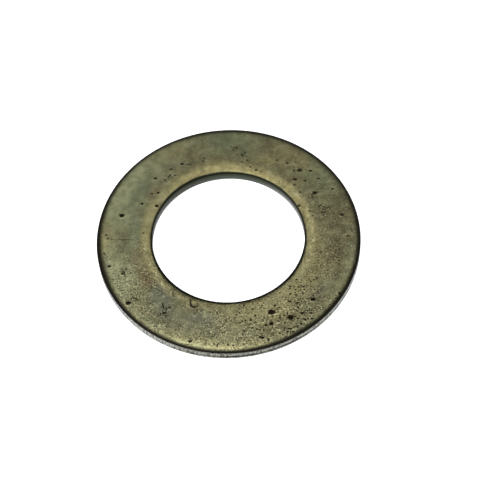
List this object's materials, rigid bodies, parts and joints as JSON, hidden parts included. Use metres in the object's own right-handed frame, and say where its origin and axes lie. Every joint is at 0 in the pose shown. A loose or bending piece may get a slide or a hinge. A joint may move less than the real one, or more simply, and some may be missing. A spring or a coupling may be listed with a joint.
{
  "type": "flat washer",
  "caption": "Round flat washer stamped from sheet steel, with a plain bolt hole and rolled upper edges.",
  "frame": {"origin": "centre of the bolt hole on the lower bearing face, the face the washer rests on", "axes": "+Z along the hole's axis, out of the upper face whose edges are rolled; X and Y lie in the bearing face and are interchangeable"},
  "size_m": [0.036, 0.036, 0.0017],
  "materials": {
    "washer_steel": "dull olive-tan passivated plating, darker at the rolled edges, pitted"
  },
  "bodies": {
    "root": {"flat_washer": "washer_steel"}
  },
  "joints": []
}
